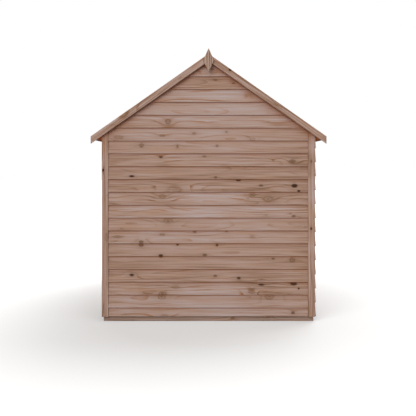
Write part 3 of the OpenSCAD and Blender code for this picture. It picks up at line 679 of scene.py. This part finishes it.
def roll_felt(name, reach, lift, turn, turned_down=0.0):
    """A sheet of felt from the ridge down one slope, lying on boards that aren't quite flat."""
    bpy.ops.object.select_all(action="DESELECT")
    long = reach * roof_fall
    middle = (reach / 2, 0, ridge_z + lift * roof_fall - reach / 2 * math.tan(pitch))
    bpy.ops.mesh.primitive_plane_add(size=1.0, calc_uvs=False, location=middle, rotation=(0, pitch, 0))
    sheet = bpy.context.object
    sheet.scale = (long, 2 * roof_y, 1)
    bpy.ops.object.transform_apply(location=True, rotation=True, scale=True)
    bpy.ops.object.mode_set(mode="EDIT")
    bpy.ops.mesh.subdivide(number_cuts=felt_cuts)
    bpy.ops.mesh.select_all(action="DESELECT")
    bpy.ops.object.mode_set(mode="OBJECT")
    rng = random.Random(name)
    waves = [(rng.uniform(2, 11), rng.uniform(2, 9), rng.uniform(0, 6)) for _ in range(wave_n)]
    for spot in sheet.data.vertices:
        x, y = spot.co.x, spot.co.y
        slack = min(1.0, (reach - x) / held_flat, x / held_flat, (roof_y - abs(y)) / held_flat)
        rise = slack * swell * sum(1 + math.sin(a * x + b * y + c) for a, b, c in waves)
        spot.co += Vector((math.sin(pitch), 0, math.cos(pitch))) * rise
    if turned_down:
        for edge in sheet.data.edges:
            edge.select = all(sheet.data.vertices[v].co.x > reach - 1 * MM for v in edge.vertices)
        bpy.ops.object.mode_set(mode="EDIT")
        bpy.ops.mesh.select_mode(type="EDGE")
        bpy.ops.mesh.extrude_region_move(TRANSFORM_OT_translate={"value": (0, 0, -turned_down)})
        bpy.ops.object.mode_set(mode="OBJECT")
    sheet.rotation_euler.z = math.radians(turn)
    bpy.ops.object.transform_apply(location=True, rotation=True, scale=True)
    thickness = sheet.modifiers.new("felt_thickness", "SOLIDIFY")
    thickness.thickness, thickness.offset = felt_t, 1.0
    bpy.ops.object.modifier_apply(modifier="felt_thickness")
    bpy.ops.object.shade_smooth_by_angle(angle=math.radians(40))
    return sheet


for name, turn, node in (("right_felt_sheet", 0, "felt_right"), ("left_felt_sheet", 180, "felt_left")):
    sheet = roll_felt(name, roof_x, roof_t, turn, felt_turn)
    fix(name, [sheet], felt, "roof_felt", node)
caps = [roll_felt(f"cap {turn}", cap_reach, roof_t + felt_t, turn) for turn in (0, 180)]
fix("ridge_felt_strip", caps, felt, "roof_felt", "felt_ridge")

# The nails show as flat heads 10 mm across, about 100 mm apart, along the edges of the strip and the sheets.
# Galvanised steel: dull zinc in a fine pattern of crystals, some of them shinier.
zinc = bpy.data.materials.new("galvanised_steel")
zinc.use_nodes = True
tree = zinc.node_tree
place = add(tree, "ShaderNodeTexCoord", out="Object")
crystals = add(tree, "ShaderNodeTexVoronoi", {"Vector": place, "Scale": 1 / (3 * MM)}, out="Color")
shine = add(tree, "ShaderNodeSeparateXYZ", {0: crystals})
colour = add(tree, "ShaderNodeMix", {0: shine, 6: linear("#8b8f92"), 7: linear("#a9adaf")}, **BLEND)
shader = tree.nodes["Principled BSDF"].inputs
tree.links.new(colour, shader["Base Color"])
matt = add(tree, "ShaderNodeMapRange", {0: shine, 3: 0.42, 4: 0.62})
tree.links.new(matt, shader["Roughness"])
shader["Metallic"].default_value = 0.6
head_r, head_t, head_arris = 5 * MM, 1.6 * MM, 0.6 * MM
from_edge, from_fold, nail_gap = 22 * MM, 14 * MM, 100 * MM
# Along the sloping edges they stand a little closer, from these places on the strip and on the sheet.
cap_first, sheet_first, verge_gap = 40 * MM, 340 * MM, 82 * MM
bpy.ops.object.select_all(action="DESELECT")
bpy.ops.mesh.primitive_cylinder_add(vertices=10, radius=head_r, depth=head_t, calc_uvs=False)
nail_head = bpy.context.object
bpy.ops.object.mode_set(mode="EDIT")
bpy.ops.mesh.select_all(action="DESELECT")
bpy.ops.object.mode_set(mode="OBJECT")
for edge in nail_head.data.edges:
    edge.select = all(nail_head.data.vertices[v].co.z > 0 for v in edge.vertices)
bpy.ops.object.mode_set(mode="EDIT")
bpy.ops.mesh.select_mode(type="EDGE")
bpy.ops.mesh.bevel(offset=head_arris, affect="EDGES")
bpy.ops.object.mode_set(mode="OBJECT")
along_roof = [i * nail_gap for i in range(-12, 13)]
nails = []
for side in (1, -1):
    sheet_top, cap_top = roof_t + felt_t, roof_t + 2 * felt_t
    spots = [(cap_reach - from_edge, y, cap_top) for y in along_roof]
    for y in (-roof_y + from_edge, roof_y - from_edge):
        spots += [(cap_first + i * verge_gap, y, cap_top) for i in range(3)]
        spots += [(sheet_first + i * verge_gap, y, sheet_top) for i in range(8)]
    spots = [(x, y, ridge_z + up * roof_fall - x * math.tan(pitch), pitch) for x, y, up in spots]
    eaves_top = ridge_z + sheet_top * roof_fall - roof_x * math.tan(pitch)
    spots += [(roof_x + felt_t, y, eaves_top - from_fold, math.pi / 2) for y in along_roof]
    for x, y, z, tilt in spots:
        nail = nail_head.copy()
        nail.data = nail_head.data.copy()
        bpy.context.collection.objects.link(nail)
        nail.data.transform(Matrix.Translation((side * x, y, z)) @ Matrix.Rotation(side * tilt, 4, "Y"))
        nails.append(nail)
bpy.data.objects.remove(nail_head)
fix("felt_nails", nails, zinc, "ironwork")


# Bargeboards. A planed softwood board is nailed to the ends of the roof boards along each edge of a gable,
# plumb cut at the ridge, where two of them meet, and at the eaves.
barge_t, barge_x, barge_spare = 18 * MM, 1006 * MM, 60 * MM
# Knots of the photographed bargeboards.
barge_knots = {"plain_barge_right": [(0.213, 13 * MM, 9 * MM, 0.95, 1.3), (0.7, -5 * MM, 8 * MM, 0.4, 2.5)],
               "plain_barge_left": [(-0.872, 0, 16 * MM, 0.42, 2.2), (-0.3, -8 * MM, 7 * MM, 0.35, 2.5)]}
for name, turn, side, tones in (
        ("plain_barge_right", 0, 1, (0, -0.4, -0.2)), ("plain_barge_left", 0, -1, (0, 0.2, 0.6)),
        ("door_barge_left", 180, 1, (0, 0.1, 0.3)), ("door_barge_right", 180, -1, (0, 0.0, 0.2))):
    facing = Matrix.Rotation(math.radians(turn), 3, "Z")
    rng = random.Random(name)
    long = barge_x * roof_fall
    ends = (-barge_spare, long + barge_spare) if side > 0 else (-long - barge_spare, barge_spare)
    plumb = Vector((math.cos(pitch), 0, side * math.sin(pitch)))
    cuts = [(Vector((0, 0, 0)), -side * plumb), (Vector((side * long, 0, 0)), side * plumb)]
    grown = grow_knots(rng, *ends, barge_up - barge_w, barge_up, 420 * MM)
    barge = saw_timber(*ends, barge_up - barge_w, barge_up, barge_t, board_arris, rng, [tones],
                       barge_knots.get(name, grown), cuts=cuts)
    down = facing @ Vector((math.cos(pitch), 0, -side * math.sin(pitch)))
    set_timber(barge, down, facing @ Vector((0, 1, 0)), facing @ Vector((0, -roof_y - barge_t, ridge_z)))
    fix(name + "_board", [barge], planed_trim, "trim_timber", name)


# Finials. A diamond of planed softwood is nailed over the joint of the bargeboards at the top of each gable.
# The same softwood as the trim, but a browner cut with strong upright streaks.
streaked_wood = softwood("streaked_softwood", "#745640", "#937765", "#ad988d", streaks=2.8)
finial_w, finial_h, finial_t = 90 * MM, 203 * MM, 14 * MM
finial_proud, finial_arris = 45 * MM, 1 * MM
finial_tip = ridge_z + barge_up * roof_fall + finial_proud
for name, turn in (("plain_finial", 0), ("door_finial", 180)):
    facing = Matrix.Rotation(math.radians(turn), 3, "Z")
    rng = random.Random(name)
    middle = finial_tip - finial_h / 2
    cuts = [((middle + up * finial_h / 2, 0, 0), (up * finial_w, 0, side * finial_h)) for up in (1, -1)
            for side in (1, -1)]
    diamond = saw_timber(middle - finial_h / 2, finial_tip, -finial_w / 2, finial_w / 2, finial_t,
                         finial_arris, rng, [(0, -0.3, -0.3)], cuts=cuts)
    face = facing @ Vector((0, -roof_y - barge_t - finial_t, 0))
    set_timber(diamond, (0, 0, 1), facing @ Vector((0, 1, 0)), face)
    fix(name + "_board", [diamond], streaked_wood, "trim_timber", name)


# Studio: a pale floor that turns white far off and is left greyer near the shed as a painted soft shadow,
# a soft key lamp from the upper left, a broad one overhead, a third from behind on the right, and an even
# white surround.
bpy.ops.mesh.primitive_plane_add(size=120.0, location=(0, 0, -0.5 * MM))
floor = bpy.context.object
floor.name = "studio_floor"
pale = bpy.data.materials.new("pale_floor_painted_shade")
pale.use_nodes = True
tree = pale.node_tree
paint = tree.nodes["Principled BSDF"]
paint.inputs["Base Color"].default_value = linear("#b7b8b8")
paint.inputs["Roughness"].default_value = 0.9
place = add(tree, "ShaderNodeTexCoord", out="Object")
# Seen by the camera, the floor glows more the farther it lies from the shed: white far off, and greyer near
# it, a painted soft shadow round the shed.
away = add(tree, "ShaderNodeVectorMath", {0: place, 1: (0, -1.2, 0)}, operation="DISTANCE", out="Value")
white = add(tree, "ShaderNodeMapRange", {0: away, 1: 0.8, 2: 4.2, 3: 0.24, 4: 0.8})
seen = add(tree, "ShaderNodeLightPath", out="Is Camera Ray")
lift = add(tree, "ShaderNodeMath", {0: seen, 1: white}, operation="MULTIPLY")
glow = add(tree, "ShaderNodeEmission", {"Color": (1, 1, 1, 1), "Strength": lift})
both = add(tree, "ShaderNodeAddShader", {0: paint.outputs[0], 1: glow})
tree.links.new(both, tree.nodes["Material Output"].inputs["Surface"])
floor.data.materials.append(pale)

world = bpy.data.worlds.new("white_studio")
bpy.context.scene.world = world
world.use_nodes = True
tree = world.node_tree
ray = add(tree, "ShaderNodeLightPath").node.outputs
seen = ray["Is Camera Ray"]
for kind in ("Is Glossy Ray", "Is Transmission Ray"):
    seen = add(tree, "ShaderNodeMath", {0: seen, 1: ray[kind]}, operation="MAXIMUM")
fill = add(tree, "ShaderNodeMapRange", {0: seen, 3: 0.30, 4: 1.0})
tree.links.new(fill, tree.nodes["Background"].inputs["Strength"])
tint = add(tree, "ShaderNodeMix", {0: seen, 6: (1.1, 0.98, 0.9, 1), 7: (1, 1, 1, 1)}, **BLEND)
tree.links.new(tint, tree.nodes["Background"].inputs["Color"])

# Each lamp as its strength, its breadth, and how far it stands to the left and above, all three in degrees.
lamps = (("key_lamp", 1.78, 40, 33, 29), ("top_lamp", 1.05, 60, -10, 58), ("back_lamp", 2.1, 50, 212, 40))
for name, strength, breadth, from_left, from_above in lamps:
    bpy.ops.object.light_add(type="SUN", location=(-3, -5, 6))
    lamp = bpy.context.object
    lamp.name = name
    lamp.data.energy = strength
    lamp.data.angle = math.radians(breadth)
    left, above = math.radians(from_left), math.radians(from_above)
    toward = Vector((math.sin(left) * math.cos(above), math.cos(left) * math.cos(above), -math.sin(above)))
    lamp.rotation_euler = toward.to_track_quat("-Z", "Y").to_euler()


# Camera: level, square on to the plain gable, with the horizon above the middle of the picture.
photo_px = 416
focal_px, horizon_px, aside_px = 701, 166, 0.6
camera_y, camera_z = -7.219, 1.331
bpy.ops.object.camera_add(location=(0, camera_y, camera_z), rotation=(math.pi / 2, 0, 0))
camera = bpy.context.object
camera.name = "photo_camera"
camera.data.sensor_width = 36.0
camera.data.lens = camera.data.sensor_width * focal_px / photo_px
camera.data.shift_x = -aside_px / photo_px
camera.data.shift_y = (horizon_px - photo_px / 2) / photo_px
bpy.context.scene.camera = camera
bpy.context.scene.view_settings.view_transform = "Standard"
